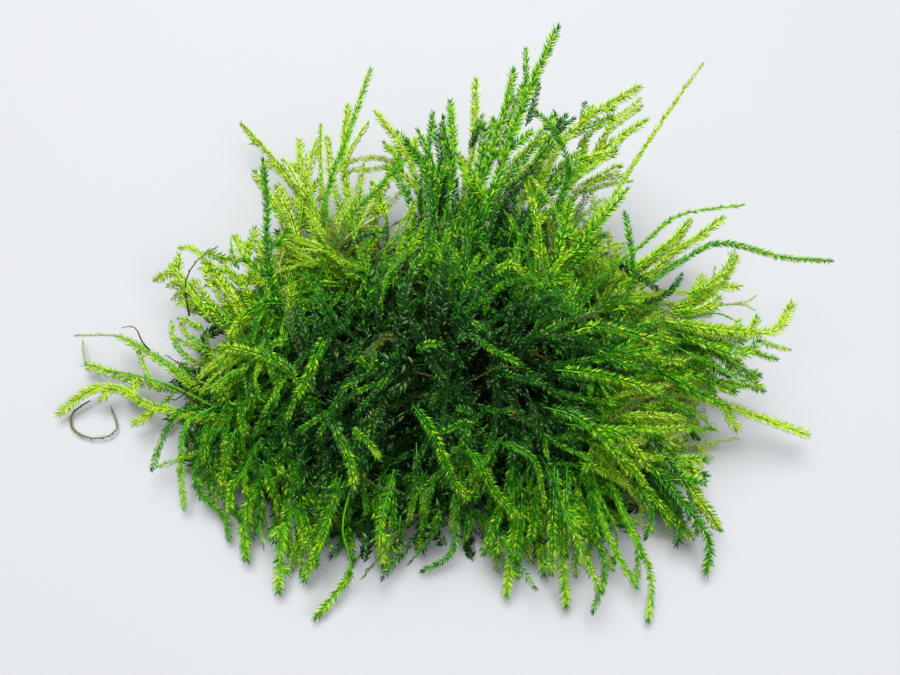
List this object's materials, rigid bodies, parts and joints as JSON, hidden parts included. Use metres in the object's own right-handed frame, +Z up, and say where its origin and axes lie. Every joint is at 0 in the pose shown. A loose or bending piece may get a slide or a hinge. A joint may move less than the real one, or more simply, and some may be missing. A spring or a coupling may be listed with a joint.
{
  "type": "moss clump",
  "caption": "Loose wet clump of feathery water moss lying flat, with long leafy shoots leaning out of a dense tangle on all sides.",
  "frame": {"origin": "centre of the clump's bounding box, on the surface that it rests on", "axes": "+X along the clump's longest side, +Y towards the side where the long shoots stand highest, +Z up"},
  "size_m": [0.1204, 0.0844, 0.0354],
  "materials": {
    "deep_green": "wet leaves, dark green",
    "leaf_green": "wet leaves, fresh green",
    "lime": "wet young leaves, yellow-green",
    "old_brown": "old wiry stalk, blackish brown"
  },
  "bodies": {
    "root": {"inner_shoots": "deep_green", "shoot_left_upper": "leaf_green", "shoot_left_curl": "leaf_green", "shoot_left_long": "lime", "stalk_left_hook": "old_brown", "shoot_upper_left_arch": "lime", "shoot_upper_left_pale": "lime", "shoot_upper_left_short": "lime", "shoot_front_left_edge": "leaf_green", "shoot_front_left_bent": "deep_green", "shoot_front_left_1": "leaf_green", "shoot_front_left_2": "leaf_green", "shoot_front_left_3": "leaf_green", "shoot_front_left_hook": "leaf_green", "shoot_front_1": "leaf_green", "shoot_front_2": "leaf_green", "shoot_front_curl": "deep_green", "shoot_front_3": "leaf_green", "shoot_front_4": "leaf_green", "shoot_front_5": "leaf_green", "shoot_front_6": "leaf_green", "shoot_front_right_1": "leaf_green", "shoot_front_right_long": "leaf_green", "shoot_front_right_hook": "deep_green", "shoot_front_right_2": "leaf_green", "shoot_front_right_3": "leaf_green", "shoot_right_low": "leaf_green", "shoot_right_low_long": "lime", "shoot_right_1": "leaf_green", "shoot_right_2": "leaf_green", "shoot_right_3": "leaf_green", "shoot_right_curved_up": "lime", "shoot_right_thin": "leaf_green", "shoot_right_pale": "lime", "shoot_right_long": "leaf_green", "shoot_right_far": "lime", "shoot_right_curve": "leaf_green", "shoot_right_thin_up": "deep_green", "shoot_back_right_1": "leaf_green", "shoot_back_right_long": "lime", "shoot_back_right_2": "lime", "shoot_back_right_3": "lime", "shoot_back_dark": "deep_green", "shoot_back_tallest": "leaf_green", "shoot_back_1": "leaf_green", "shoot_back_2": "lime", "shoot_back_3": "leaf_green", "shoot_back_4": "deep_green", "shoot_back_5": "lime", "shoot_back_left_dark": "deep_green", "shoot_back_left_long": "leaf_green", "shoot_back_left_1": "lime", "shoot_back_left_2": "lime", "shoot_back_left_3": "lime", "shoot_back_left_far": "lime", "shoot_back_left_upright": "deep_green"}
  },
  "joints": []
}
